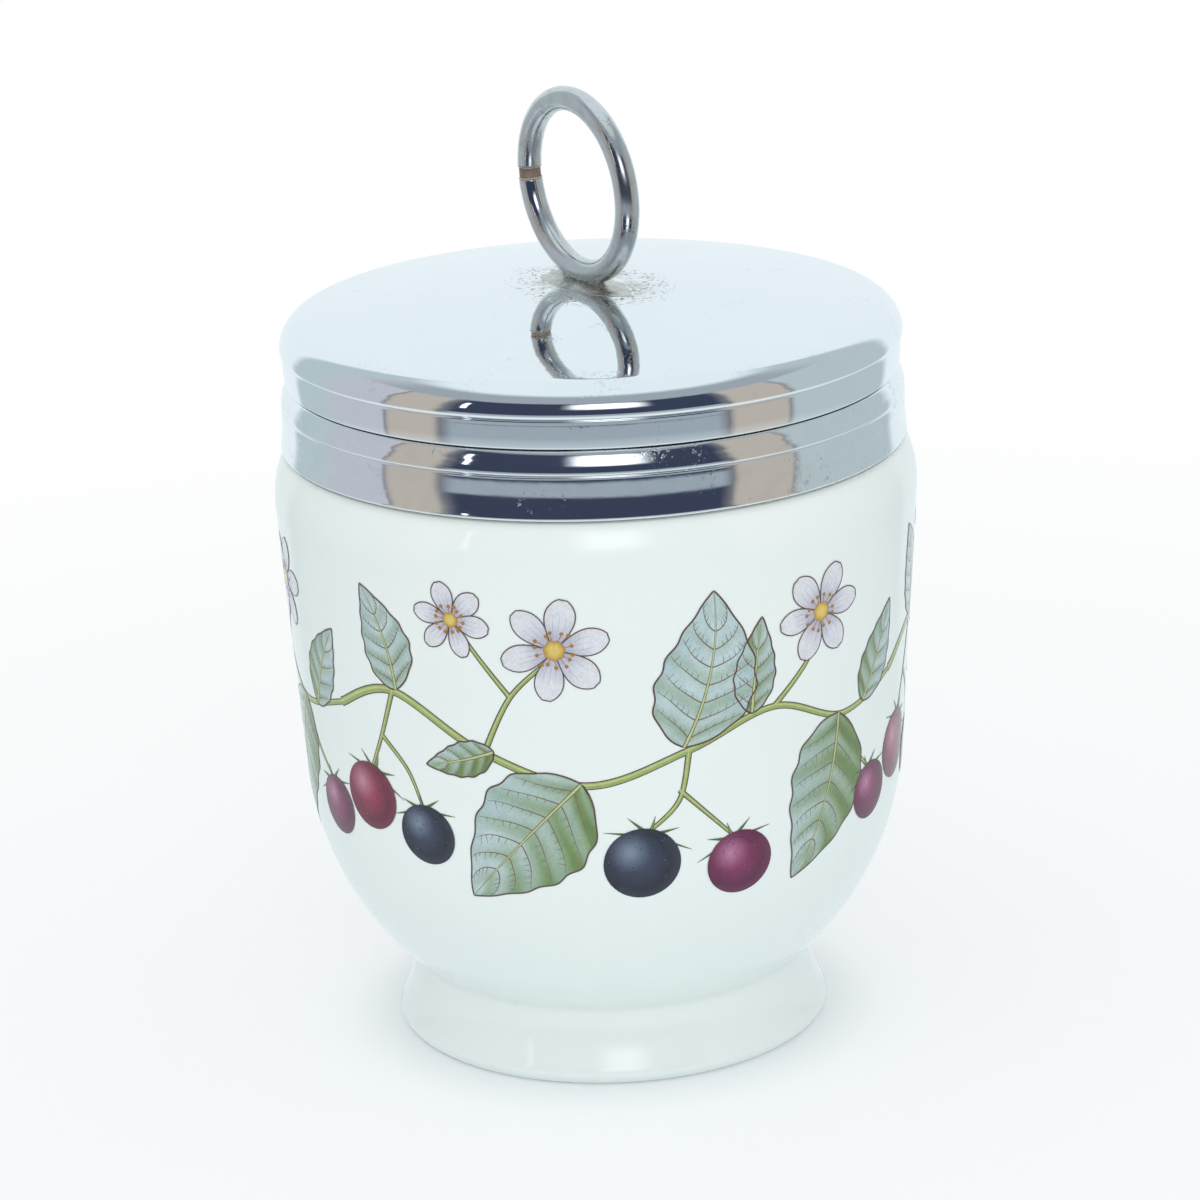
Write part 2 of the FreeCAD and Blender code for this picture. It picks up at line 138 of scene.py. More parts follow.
def mesh_piece(name, corners, faces, material, body):
    """New piece from corners in millimetres, smooth, riding on a body."""
    mesh = bpy.data.meshes.new(name)
    mesh.from_pydata([(x * MM, y * MM, z * MM) for x, y, z in corners], [], faces)
    mesh.materials.append(material)
    mesh.polygons.foreach_set("use_smooth", [True] * len(mesh.polygons))
    mesh.update()
    piece = bpy.data.objects.new(name, mesh)
    bpy.context.scene.collection.objects.link(piece)
    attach(piece, body)
    return piece


def turned(name, outline, material, body, swell=None):
    """Piece turned about Z from a closed outline.

    swell(radius, height, angle), if given, says how far out a point moves.
    """
    corners = []
    on_axis = [abs(r) < 1e-6 for r, _ in outline]
    rows = []
    for (r, z), pole in zip(outline, on_axis):
        if pole:
            rows.append([len(corners)] * ROUND)
            corners.append((0.0, 0.0, z))
            continue
        rows.append(list(range(len(corners), len(corners) + ROUND)))
        for k in range(ROUND):
            angle = 2 * math.pi * k / ROUND
            reach = r + (swell(r, z, angle) if swell else 0.0)
            corners.append((reach * math.cos(angle), reach * math.sin(angle), z))
    faces = []
    for index in range(len(rows)):
        if on_axis[index] and on_axis[index - 1]:
            continue
        low, high = rows[index - 1], rows[index]
        for k in range(ROUND):
            after = (k + 1) % ROUND
            # A pole gives its corner twice, and it is kept once
            faces.append(list(dict.fromkeys((low[k], low[after], high[after], high[k]))))
    return mesh_piece(name, corners, faces, material, body)


# Materials

GLAZE_IOR = 1.52
PIT_COLOUR = (0.15, 0.13, 0.11)
STAIN_COLOUR = (0.36, 0.32, 0.26)


def new_material(name):
    material = bpy.data.materials.new(name)
    material.use_nodes = True
    nodes = material.node_tree.nodes
    return material, nodes, material.node_tree.links, nodes["Principled BSDF"]


def noise(nodes, links, scale, detail, roughness=0.55):
    """Noise texture on object coordinates."""
    coordinates = nodes.new("ShaderNodeTexCoord")
    texture = nodes.new("ShaderNodeTexNoise")
    texture.inputs["Scale"].default_value = scale
    texture.inputs["Detail"].default_value = detail
    texture.inputs["Roughness"].default_value = roughness
    links.new(coordinates.outputs["Object"], texture.inputs["Vector"])
    return texture.outputs["Fac"]


def ramp(nodes, links, source, stops):
    """Colour ramp. Each stop is (place, colour or grey)."""
    node = nodes.new("ShaderNodeValToRGB")
    elements = node.color_ramp.elements
    while len(elements) < len(stops):
        elements.new(0.5)
    for element, (place, colour) in zip(elements, stops):
        element.position = place
        grey = isinstance(colour, (int, float))
        element.color = (colour, colour, colour, 1) if grey else (*colour, 1)
    links.new(source, node.inputs["Fac"])
    return node.outputs["Color"]


def bump(nodes, links, height, distance, strength=1.0, after=None):
    node = nodes.new("ShaderNodeBump")
    node.inputs["Distance"].default_value = distance
    node.inputs["Strength"].default_value = strength
    links.new(height, node.inputs["Height"])
    if after:
        links.new(after, node.inputs["Normal"])
    return node.outputs["Normal"]


def mix_colour(nodes, links, share, first, second, mode="MIX"):
    """Mix of two colours. The node has its factor as socket 0 and its colours as 6 and 7."""
    node = nodes.new("ShaderNodeMix")
    node.data_type = "RGBA"
    node.blend_type = mode
    for place, value in ((0, share), (6, first), (7, second)):
        if isinstance(value, bpy.types.NodeSocket):
            links.new(value, node.inputs[place])
        else:
            node.inputs[place].default_value = value if place == 0 else (*value, 1)
    return node.outputs[2]


def math_node(nodes, links, operation, first, second=0.0, clamp=False):
    node = nodes.new("ShaderNodeMath")
    node.operation = operation
    node.use_clamp = clamp
    for socket, value in zip(node.inputs, (first, second)):
        if isinstance(value, bpy.types.NodeSocket):
            links.new(value, socket)
        else:
            socket.default_value = value
    return node.outputs[0]


def multiply(nodes, links, first, second):
    """Product of two masks, kept between 0 and 1."""
    return math_node(nodes, links, "MULTIPLY", first, second, True)


def between(nodes, links, value, low, high, soft):
    """1 between two values and 0 outside them, with soft edges."""
    rise = nodes.new("ShaderNodeMapRange")
    fall = nodes.new("ShaderNodeMapRange")
    spans = ((rise, low - soft, low + soft), (fall, high + soft, high - soft))
    for node, first, last in spans:
        node.interpolation_type = "SMOOTHSTEP"
        node.inputs["From Min"].default_value = first
        node.inputs["From Max"].default_value = last
        links.new(value, node.inputs["Value"])
    return math_node(nodes, links, "MULTIPLY", rise.outputs[0], fall.outputs[0])


def polish_glaze(nodes, links, shader, low, high):
    """Uneven gloss of fired glaze, its roughness between two values."""
    polish = noise(nodes, links, 180.0, 2.0)
    links.new(ramp(nodes, links, polish, [(0.3, low), (0.7, high)]), shader.inputs["Roughness"])
    shader.inputs["IOR"].default_value = GLAZE_IOR


def make_porcelain():
    material, nodes, links, shader = new_material("glazed_porcelain")
    drift = noise(nodes, links, 40.0, 3.0)
    tones = [(0.3, (0.825, 0.885, 0.868)), (0.7, (0.84, 0.90, 0.882))]
    colour = ramp(nodes, links, drift, tones)
    links.new(colour, shader.inputs["Base Color"])
    polish_glaze(nodes, links, shader, 0.07, 0.13)
    ripple = noise(nodes, links, 260.0, 2.0)
    links.new(bump(nodes, links, ripple, 0.00003), shader.inputs["Normal"])
    return material


def halo_masks(nodes, links):
    """Masks on top of the dome about the lifting ring's foot: a pitted rim, and all inside it."""
    squeeze, ragged_depth, soft = 1.35, 0.006, 0.0014
    inner, outer, stain_reach = 0.0078, 0.0128, 0.0105
    above_inside = (DOME_TOP - SHEET + 0.01) * MM
    place = nodes.new("ShaderNodeTexCoord").outputs["Object"]
    height = nodes.new("ShaderNodeSeparateXYZ")
    links.new(place, height.inputs[0])
    outside = math_node(nodes, links, "GREATER_THAN", height.outputs["Z"], above_inside)
    oval = nodes.new("ShaderNodeVectorMath")
    oval.operation = "MULTIPLY"
    links.new(place, oval.inputs[0])
    oval.inputs[1].default_value = (1.0, squeeze, 0.0)
    reach = nodes.new("ShaderNodeVectorMath")
    reach.operation = "LENGTH"
    links.new(oval.outputs[0], reach.inputs[0])
    ragged = noise(nodes, links, 300.0, 5.0, 0.7)
    ragged = math_node(nodes, links, "MULTIPLY", ragged, ragged_depth)
    ragged = math_node(nodes, links, "ADD", reach.outputs["Value"], ragged)
    rim = between(nodes, links, ragged, inner, outer, soft)
    enclosed = between(nodes, links, ragged, -0.01, stain_reach, 0.002)
    return multiply(nodes, links, rim, outside), multiply(nodes, links, enclosed, outside)


def make_chrome(name, pits, haze=0.03, worn=0.0, brown=0.0, halo=False, shade=1.0):
    """Old plating: faint waves, hazy patches, pits in clusters, and brown marks where it is worn.

    haze is the roughness of bright plating, worn what hazy patches add to it. pits and brown are
    the strengths of those marks. A halo gathers them about the lifting ring's foot.
    """
    material, nodes, links, shader = new_material(name)
    shader.inputs["Metallic"].default_value = 1.0
    patches = noise(nodes, links, 55.0, 6.0, 0.65)
    tones = ((0.35, (0.85, 0.885, 0.90)), (0.62, (0.87, 0.90, 0.91)), (0.78, (0.82, 0.82, 0.79)))
    stops = [(place, tuple(shade * channel for channel in tone)) for place, tone in tones]
    tint = ramp(nodes, links, patches, stops)
    specks = noise(nodes, links, 2400.0, 4.0, 0.6)
    clusters = noise(nodes, links, 170.0, 5.0, 0.7)
    places = ramp(nodes, links, clusters, [(0.54, 0.0), (0.68, 1.0)])
    if halo:
        rim, enclosed = halo_masks(nodes, links)
        sparse = multiply(nodes, links, places, 0.25)
        places = math_node(nodes, links, "MAXIMUM", sparse, rim)
    specks = ramp(nodes, links, specks, [(0.56, 0.0), (0.63, 1.0)])
    mask = multiply(nodes, links, specks, places)
    share = multiply(nodes, links, mask, pits)
    colour = mix_colour(nodes, links, share, tint, PIT_COLOUR)
    marks = noise(nodes, links, 420.0, 6.0, 0.7)
    stains = ramp(nodes, links, marks, [(0.44, 0.0), (0.66, 1.0)])
    if halo:
        stains = multiply(nodes, links, stains, enclosed)
    share = multiply(nodes, links, stains, brown)
    colour = mix_colour(nodes, links, share, colour, STAIN_COLOUR)
    links.new(colour, shader.inputs["Base Color"])
    cloudy = noise(nodes, links, 240.0, 5.0, 0.6)
    cloudy = ramp(nodes, links, cloudy, [(0.35, haze), (0.68, haze + worn)])
    rough = math_node(nodes, links, "ADD", cloudy, multiply(nodes, links, mask, 0.35))
    rough = math_node(nodes, links, "ADD", rough, multiply(nodes, links, stains, brown * 0.4), True)
    links.new(rough, shader.inputs["Roughness"])
    normal = bump(nodes, links, noise(nodes, links, 70.0, 2.0), 0.00004)
    normal = bump(nodes, links, noise(nodes, links, 420.0, 2.0), 0.000006, 1.0, normal)
    links.new(bump(nodes, links, mask, 0.00004, 0.6, normal), shader.inputs["Normal"])
    return material


def make_dull(name, low, high, roughness, metallic, scale=700.0, depth=0.00012):
    """Mottled surface between two colours, such as solder, cement or braze.

    scale is the grain's, and depth its bump's in metres.
    """
    material, nodes, links, shader = new_material(name)
    grain = noise(nodes, links, scale, 5.0, 0.65)
    links.new(ramp(nodes, links, grain, [(0.35, low), (0.65, high)]), shader.inputs["Base Color"])
    links.new(bump(nodes, links, grain, depth), shader.inputs["Normal"])
    gloss = [(0.3, roughness), (0.7, roughness + 0.15)]
    links.new(ramp(nodes, links, grain, gloss), shader.inputs["Roughness"])
    shader.inputs["Metallic"].default_value = metallic
    return material


PORCELAIN = make_porcelain()
CHROME = make_chrome("plated_inside", pits=0.3)
LID_CHROME = make_chrome("plated_lid", pits=0.75, worn=0.02, brown=0.75, halo=True)
COLLAR_CHROME = make_chrome("plated_collar", pits=0.42, haze=0.035, worn=0.04, brown=0.06)
RING_CHROME = make_chrome("plated_ring", pits=0.6, haze=0.07, worn=0.16, brown=0.25, shade=0.76)
SOLDER = make_dull("old_solder", (0.40, 0.38, 0.33), (0.66, 0.67, 0.66),
                   roughness=0.2, metallic=0.9)
BRAZE = make_dull("browned_braze", (0.20, 0.145, 0.115), (0.34, 0.265, 0.215),
                  roughness=0.5, metallic=0.3)
BRAZE_RIM = make_dull("tan_braze_rim", (0.50, 0.42, 0.30), (0.68, 0.61, 0.48),
                      roughness=0.35, metallic=0.5)
CEMENT = make_dull("bedding_cement", (0.38, 0.34, 0.28), (0.52, 0.48, 0.42),
                   roughness=0.8, metallic=0.0)
RUBBER = make_dull("seal_rubber", (0.36, 0.16, 0.11), (0.44, 0.21, 0.15),
                   roughness=0.6, metallic=0.0, scale=900.0, depth=0.00004)


# Pieces that stand for the CAD nodes, with the thread and finer rounds
# An outline's steps are (radius, height), with the bulge of the arc that leads there

CUP_OUTSIDE = [
    (21.0, 0.0),
    (FOOT_RADIUS, 1.3, 0.35),
    (20.3, 7.6, -0.12),
    (30.3, 28.0, 0.197),
    (32.1, 55.0),
    (COLLAR_RADIUS - 0.1, SHOULDER_HEIGHT - 0.1, 0.16),
    (COLLAR_RADIUS - 0.4, SHOULDER_HEIGHT),
]


def make_cup():
    recess = 3.6
    inside = [
        (NECK_RADIUS + 0.6, SHOULDER_HEIGHT),
        (NECK_RADIUS, SHOULDER_HEIGHT + 0.6),
        (NECK_RADIUS, RIM_HEIGHT - 0.8),
        (NECK_RADIUS - 0.8, RIM_HEIGHT, QUARTER),
        (MOUTH_RADIUS + 0.8, RIM_HEIGHT),
        (MOUTH_RADIUS, RIM_HEIGHT - 0.8, QUARTER),
        (MOUTH_RADIUS, SHOULDER_HEIGHT + 1.5),
        ((MOUTH_RADIUS + 28.8) / 2, (SHOULDER_HEIGHT + 1.5 + 54.0) / 2, 0.2),
        (28.8, 54.0, -0.2),
        (27.0, 28.0),
        (5.0, 8.0, -0.38),
        (0.0, 8.0),
        (0.0, recess),
        (17.5, recess),
        (18.6, recess - 1.1, -QUARTER),
        (18.9, 0.6),
        (19.5, 0.0, 0.2),
    ]
    outline = outline_points(CUP_OUTSIDE + inside, 0.65)
    cup = turned("porcelain_cup", outline, PORCELAIN, "cup")
    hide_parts("cup")


# Printed garland on the glaze
# It is drawn flat, in millimetres around and up the cup, and laid on the cup's outside

def srgb(*values):
    """Linear colour from values of 0 to 255."""
    return tuple(((v / 255 + 0.055) / 1.055) ** 2.4 for v in values)


def blend(first, second, share):
    """Mix of two colours or places, the share kept between 0 and 1."""
    share = min(1.0, max(0.0, share))
    return tuple(a + (b - a) * share for a, b in zip(first, second))


LINE_BROWN = srgb(100, 76, 70)
VEIN_BROWN = srgb(128, 116, 104)
STEM_GREEN = srgb(160, 180, 104)
STEM_LIGHT = srgb(196, 208, 142)
LEAF_PALE = srgb(210, 227, 229)
LEAF_BLUE = srgb(166, 194, 198)
LEAF_GREEN = srgb(122, 152, 88)
LEAF_DARK = srgb(82, 110, 62)
PETAL_WHITE = srgb(232, 233, 240)
PETAL_SHADE = srgb(184, 185, 205)
CENTRE_YELLOW = srgb(236, 208, 112)
CENTRE_OCHRE = srgb(176, 128, 60)
PLUM = (srgb(92, 22, 64), srgb(134, 42, 92), srgb(206, 140, 178))
WINE = (srgb(104, 20, 52), srgb(150, 40, 78), srgb(216, 150, 170))
SLOE = (srgb(26, 30, 48), srgb(52, 62, 88), srgb(142, 158, 182))

# Radius at which the drawing has its real width, and height at which it has its real height
PRINT_RADIUS = 31.0
PRINT_LEVEL = 50.0

# Height of the lowest printed layer over the glaze, and of each further layer over the last
PRINT_LIFT = 0.012
LAYER_LIFT = 0.006

# Sprays round the cup, and the first one's turn in radians
SPRAYS = 3
FIRST_SPRAY_TURN = 0.1


def cup_track():
    """Outside of the cup as (length along it, radius, height, outward normal)."""
    points = outline_points(CUP_OUTSIDE[1:6], 0.25)
    track = []
    length = 0.0
    for index, (r, z) in enumerate(points):
        before = points[max(0, index - 1)]
        after = points[min(len(points) - 1, index + 1)]
        length += math.hypot(r - before[0], z - before[1])
        slope = math.hypot(after[0] - before[0], after[1] - before[1])
        track.append((length, r, z, (after[1] - before[1]) / slope, (before[0] - after[0]) / slope))
    level = next(item[0] for item in track if item[2] >= PRINT_LEVEL)
    return [(item[0] - level + PRINT_LEVEL, *item[1:]) for item in track]


CUP_TRACK = cup_track()


def on_cup(u, v, lift):
    """Place on the cup's outside of a point drawn u around from the camera's side and v up."""
    low, high = 0, len(CUP_TRACK) - 1
    while high - low > 1:
        middle = (low + high) // 2
        if CUP_TRACK[middle][0] < v:
            low = middle
        else:
            high = middle
    below, above = CUP_TRACK[low], CUP_TRACK[high]
    share = (v - below[0]) / (above[0] - below[0])
    _, r, z, out, up = [a + (b - a) * share for a, b in zip(below, above)]
    angle = CAMERA_AZIMUTH - math.pi / 2 + u / PRINT_RADIUS
    reach = r + out * lift
    return reach * math.cos(angle), reach * math.sin(angle), z + up * lift


class Print:
    """Corners, faces and a colour for each corner of the printed shapes."""

    def __init__(self):
        self.corners = []
        self.faces = []
        self.colours = []

    def grid(self, rows, layer, closed=False):
        """Sheet from rows of (u, v, colour)."""
        start = len(self.corners)
        across = len(rows[0])
        for row in rows:
            for u, v, colour in row:
                self.corners.append(on_cup(u, v, PRINT_LIFT + LAYER_LIFT * layer))
                self.colours.append(colour)
        for i in range(len(rows) - 1):
            for k in range(across if closed else across - 1):
                after = (k + 1) % across
                low = start + i * across
                high = low + across
                self.faces.append((low + k, low + after, high + after, high + k))

    def line(self, points, width, colour, layer, taper=0.0):
        """Ribbon along points, as wide as given and narrower at its ends by the taper."""
        rows = []
        for index, (u, v) in enumerate(points):
            u0, v0 = points[max(0, index - 1)]
            u1, v1 = points[min(len(points) - 1, index + 1)]
            length = math.hypot(u1 - u0, v1 - v0) or 1.0
            share = index / (len(points) - 1)
            half = width / 2 * (1 - taper * share)
            nu, nv = -(v1 - v0) / length * half, (u1 - u0) / length * half
            rows.append([(u + nu, v + nv, colour), (u - nu, v - nv, colour)])
        self.grid(rows, layer)

    def blob(self, u, v, edge, colour, layer, rings, around):
        """Filled shape: edge(angle) is its radius and colour(x, y, share) its colour.

        share runs from 0 at the middle to 1 at the edge.
        """
        rows = []
        for ring in range(rings + 1):
            share = max(0.001, ring / rings)
            row = []
            for k in range(around):
                angle = 2 * math.pi * k / around
                x = edge(angle) * share * math.cos(angle)
                y = edge(angle) * share * math.sin(angle)
                row.append((u + x, v + y, colour(x, y, share)))
            rows.append(row)
        self.grid(rows[::-1], layer, closed=True)


def curve_points(points, count=14):
    """Smooth run through points, with count steps between each two."""
    padded = [points[0]] + list(points) + [points[-1]]
    track = []
    for a, b, c, d in zip(padded, padded[1:], padded[2:], padded[3:]):
        for k in range(count):
            t = k / count
            track.append(tuple(
                0.5 * (2 * q + (r - p) * t + (2 * p - 5 * q + 4 * r - s) * t * t
                       + (3 * q - p - 3 * r + s) * t ** 3)
                for p, q, r, s in zip(a, b, c, d)))
    return track + [points[-1]]


def draw_stem(sheet, points, width):
    """Stem with a brown edge and a light side."""
    track = curve_points(points)
    sheet.line(track, width + 0.24, LINE_BROWN, 1, 0.35)
    sheet.line(track, width, STEM_GREEN, 2, 0.4)
    lit = [(u - 0.04 * width, v + 0.14 * width) for u, v in track]
    sheet.line(lit, width * 0.35, STEM_LIGHT, 3, 0.5)


def draw_leaf(sheet, base, tip, width, green, layer):
    """Pointed leaf with a midrib, side veins, fine hatching and a thin brown edge."""
    length = math.hypot(tip[0] - base[0], tip[1] - base[1])
    along = ((tip[0] - base[0]) / length, (tip[1] - base[1]) / length)
    across = (-along[1], along[0])
    bend = random.uniform(-0.09, 0.09) * length

    def place(t, w):
        """Point of the leaf, t from 0 at its base to 1 at its tip and w from -1 to 1 across."""
        swell = math.sin(math.pi * t ** 0.78) ** 0.85 * (1 - 0.25 * t)
        wave = 1 + 0.035 * math.sin(2 * math.pi * 5.5 * t + (1.2 if w > 0 else 0))
        half = width * 0.56 * swell * wave
        reach = t * length
        side = w * half + bend * 4 * t * (1 - t)
        return (base[0] + along[0] * reach + across[0] * side,
                base[1] + along[1] * reach + across[1] * side)

    rows = []
    for i in range(41):
        t = i / 40
        row = []
        for k in range(17):
            w = k / 8 - 1
            drift = 0.6 + 0.4 * math.sin(9 * t + 3 * w)
            tone = blend(LEAF_PALE, LEAF_BLUE, 0.25 + 0.5 * abs(w) * drift)
            rich = green + 0.55 * (0.5 - t) + (0.35 * w if green > 0.2 else 0.0)
            rich += 0.22 * math.sin(2 * math.pi * 5.2 * (t - 0.16 * abs(w)))
            tone = blend(tone, LEAF_GREEN, rich)
            tone = blend(tone, LEAF_DARK, (rich - 0.75) * 0.9)
            row.append((*place(max(0.002, min(0.998, t)), w), tone))
        rows.append(row)
    sheet.grid(rows, layer)
    edge = [place(0.002 + 0.996 * k / 60, 1) for k in range(61)]
    edge += [place(0.998 - 0.996 * k / 60, -1) for k in range(61)]
    sheet.line(edge + edge[:2], 0.17, LINE_BROWN, layer + 2)
    midrib = [place(k / 30, 0) for k in range(31)]
    sheet.line(midrib, 0.42, LINE_BROWN, layer + 1, 0.8)
    sheet.line(midrib, 0.26, STEM_LIGHT, layer + 2, 0.85)
    count = max(4, round(length / 2.4))
    for k in range(count):
        start = 0.06 + 0.8 * k / count
        for side in (-1, 1):
            steps = [m / 9 for m in range(10)]
            run = [(start + 0.17 * share ** 1.3, side * share * 0.93) for share in steps]
            vein = [place(min(0.99, t), w) for t, w in run]
            sheet.line(vein, 0.15, VEIN_BROWN, layer + 1, 0.7)
            for m in range(5):
                share = 0.25 + 0.14 * m
                t = start + 0.17 * share ** 1.3 + 0.008
                w = side * share
                hatch = [(t, w), (t + random.uniform(0.02, 0.045), w * random.uniform(0.86, 1.0))]
                hatch = [place(min(0.985, a), b) for a, b in hatch]
                sheet.line(hatch, 0.08, VEIN_BROWN, layer + 1, 0.6)


def draw_petal(sheet, centre, turn, length, width, layer):
    """Petal that is shaded towards the flower's centre, with a thin edge and three fine lines."""
    along = (math.cos(turn), math.sin(turn))
    across = (-along[1], along[0])

    def place(t, w):
        half = width / 2 * math.sin(math.pi * (t * 0.98) ** 1.5) ** 0.6
        reach = length * (t - 0.05 * (1 - abs(w)) * t * t)
        return (centre[0] + along[0] * reach + across[0] * w * half,
                centre[1] + along[1] * reach + across[1] * w * half)

    rows = []
    for i in range(15):
        t = 0.04 + 0.955 * i / 14
        row = []
        for k in range(11):
            w = k / 5 - 1
            tone = blend(PETAL_SHADE, PETAL_WHITE, 2.1 * t - 0.25 - 0.22 * abs(w))
            row.append((*place(t, w), tone))
        rows.append(row)
    sheet.grid(rows, layer)
    edge = [place(0.04 + 0.955 * k / 20, 1) for k in range(21)]
    edge += [place(0.995 - 0.955 * k / 20, -1) for k in range(21)]
    sheet.line(edge, 0.12, LINE_BROWN, layer + 1)
    for w in (-0.45, 0.0, 0.4):
        track = [place(0.25 + 0.45 * k / 6, w) for k in range(7)]
        sheet.line(track, 0.07, PETAL_SHADE, layer + 1, 0.7)


def draw_flower(sheet, centre, size, turn):
    """Flower of six petals with a yellow heart and dotted stamens."""
    for k in range(6):
        petal_turn = turn + k * math.pi / 3 + random.uniform(-0.07, 0.07)
        width = size * random.uniform(0.25, 0.29)
        draw_petal(sheet, centre, petal_turn, size / 2, width, 6 + 2 * (k % 2))
    heart = size * 0.1
    sheet.blob(*centre, lambda a: heart * (1 + 0.08 * math.sin(7 * a)),
               lambda x, y, s: blend(CENTRE_YELLOW, CENTRE_OCHRE, 1.6 * s - 0.7), 11, 4, 20)
    for k in range(14):
        angle = turn + 2 * math.pi * k / 14 + random.uniform(-0.12, 0.12)
        reach = heart * random.uniform(1.5, 2.0)
        spot = centre[0] + reach * math.cos(angle), centre[1] + reach * math.sin(angle)
        sheet.line([centre, spot], 0.07, CENTRE_OCHRE, 10)
        sheet.blob(*spot, lambda a: 0.2, lambda x, y, s: CENTRE_OCHRE, 12, 1, 8)


def draw_fruit(sheet, centre, size, tones, turn):
    """Round fruit with a pale bloom on one side, a seam and a small crown of leaves."""
    dark, middle, pale = tones
    radius = size / 2

    def place(reach, angle):
        return centre[0] + reach * math.cos(angle), centre[1] + reach * math.sin(angle)

    for k in range(5):
        base = place(radius * 0.8, turn)
        tip = place(radius * 1.35, turn + (k - 2) * 0.55)
        sheet.line([base, blend(base, tip, 0.5), tip], 0.55, LEAF_DARK, 6, 0.95)
        sheet.line([base, tip], 0.3, LEAF_GREEN, 7, 0.95)

    def colour(x, y, share):
        x, y = x / radius, y / radius
        glow = max(0.0, 1 - math.hypot(x + 0.32, y - 0.34) / 0.62)
        tone = blend(middle, dark, 1.5 * share - 0.35 + 0.35 * (x - y))
        tone = blend(tone, pale, glow ** 1.4 * 0.85)
        return blend(tone, pale, 0.3 * max(0.0, math.hypot(x, y) - 0.72) * (1 if x > y else 0))

    sheet.blob(*centre, lambda a: radius * (1 + 0.02 * math.sin(2 * a + turn)), colour, 8, 12, 44)
    angles = [-0.9 + 0.2 * m for m in range(7)]
    seam = [place(radius * 0.85 * (1 - 0.3 * abs(angle)), turn + angle) for angle in angles]
    sheet.line(seam, 0.12, dark, 9, 0.6)
    for _ in range(36):
        angle = random.uniform(0, 2 * math.pi)
        spot = place(radius * math.sqrt(random.uniform(0.02, 0.85)), angle)
        tone = blend(dark, pale, random.choice((0.0, 0.0, 0.35)))
        sheet.blob(*spot, lambda a: 0.07, lambda x, y, s: tone, 9, 1, 6)


# Stems of one spray: their points and their width
STEMS = [
    ([(-33, 40), (-25, 43), (-15, 38), (-5, 35), (5, 38), (14, 41), (23, 38), (32, 40)], 0.75),
    ([(-15, 38), (-12, 44), (-8, 48)], 0.45),
    ([(-12, 44), (-15, 48), (-17, 51)], 0.35),
    ([(5, 38), (4, 33), (1, 30)], 0.45),
    ([(4, 34), (7, 31), (9.5, 28.5)], 0.35),
    ([(-25, 43), (-27, 38), (-29, 34)], 0.4),
    ([(-27, 38), (-24, 35), (-22.5, 31.5)], 0.35),
    ([(14, 41), (18, 45), (19, 48.5)], 0.45),
    ([(23, 38), (25, 34), (28, 31)], 0.4),
]

# Leaves: base, tip, width, greenness and printed layer
LEAVES = [
    ((-5.5, 35.2), (-17.5, 22.5), 11.5, 0.45, 4),
    ((4.5, 38.4), (7.5, 54.0), 10.0, 0.12, 4),
    ((22.5, 38.2), (17.0, 22.0), 10.5, 0.62, 4),
    ((-24.5, 43.2), (-28.0, 53.5), 6.0, 0.2, 4),
    ((11.5, 40.8), (12.5, 50.5), 4.4, 0.55, 3),
    ((-14, 38.2), (-21.5, 36.0), 3.6, 0.6, 3),
    ((26.5, 38.3), (31.5, 47.5), 5.2, 0.35, 4),
]

# Flowers: middle, size and turn
FLOWERS = [
    ((-7.5, 49.0), 10.5, 0.3),
    ((-17.5, 51.5), 7.8, 0.8),
    ((19.5, 49.5), 10.0, 0.1),
]

# Fruits: middle, size, tones and turn
FRUITS = [
    ((0.2, 26.6), 7.6, SLOE, 1.3),
    ((10.4, 25.4), 7.0, PLUM, 1.9),
    ((-29.6, 31.0), 7.2, WINE, 1.2),
    ((-22.2, 28.4), 6.4, SLOE, 1.7),
    ((28.8, 28.2), 6.2, PLUM, 1.9),
]


def draw_spray(sheet, shift):
    """One spray of the garland. The sprays follow each other round the cup."""
    def at(point):
        return point[0] + shift, point[1]

    for points, width in STEMS:
        draw_stem(sheet, [at(point) for point in points], width)
    for base, tip, width, green, layer in LEAVES:
        draw_leaf(sheet, at(base), at(tip), width, green, layer)
    for middle, size, turn in FLOWERS:
        draw_flower(sheet, at(middle), size, turn)
    for middle, size, tones, turn in FRUITS:
        draw_fruit(sheet, at(middle), size, tones, turn)


def make_print():
    sheet = Print()
    for number in range(SPRAYS):
        turn = number * 2 * math.pi / SPRAYS + FIRST_SPRAY_TURN
        draw_spray(sheet, turn * PRINT_RADIUS)
    material, nodes, links, shader = new_material("printed_glaze")
    tint = nodes.new("ShaderNodeVertexColor")
    tint.layer_name = "tint"
    wash = noise(nodes, links, 900.0, 4.0, 0.6)
    wash = ramp(nodes, links, wash, [(0.3, 0.86), (0.7, 1.0)])
    grain = noise(nodes, links, 5200.0, 2.0)
    grain = ramp(nodes, links, grain, [(0.35, 0.88), (0.6, 1.0)])
    colour = mix_colour(nodes, links, 1.0, tint.outputs["Color"], wash, "MULTIPLY")
    colour = mix_colour(nodes, links, 1.0, colour, grain, "MULTIPLY")
    links.new(colour, shader.inputs["Base Color"])
    polish_glaze(nodes, links, shader, 0.09, 0.15)
    piece = mesh_piece("garland_print", sheet.corners, sheet.faces, material, "cup")
    layer = piece.data.color_attributes.new("tint", "FLOAT_COLOR", "POINT")
    values = [value for colour in sheet.colours for value in (*colour, 1.0)]
    layer.data.foreach_set("color", values)


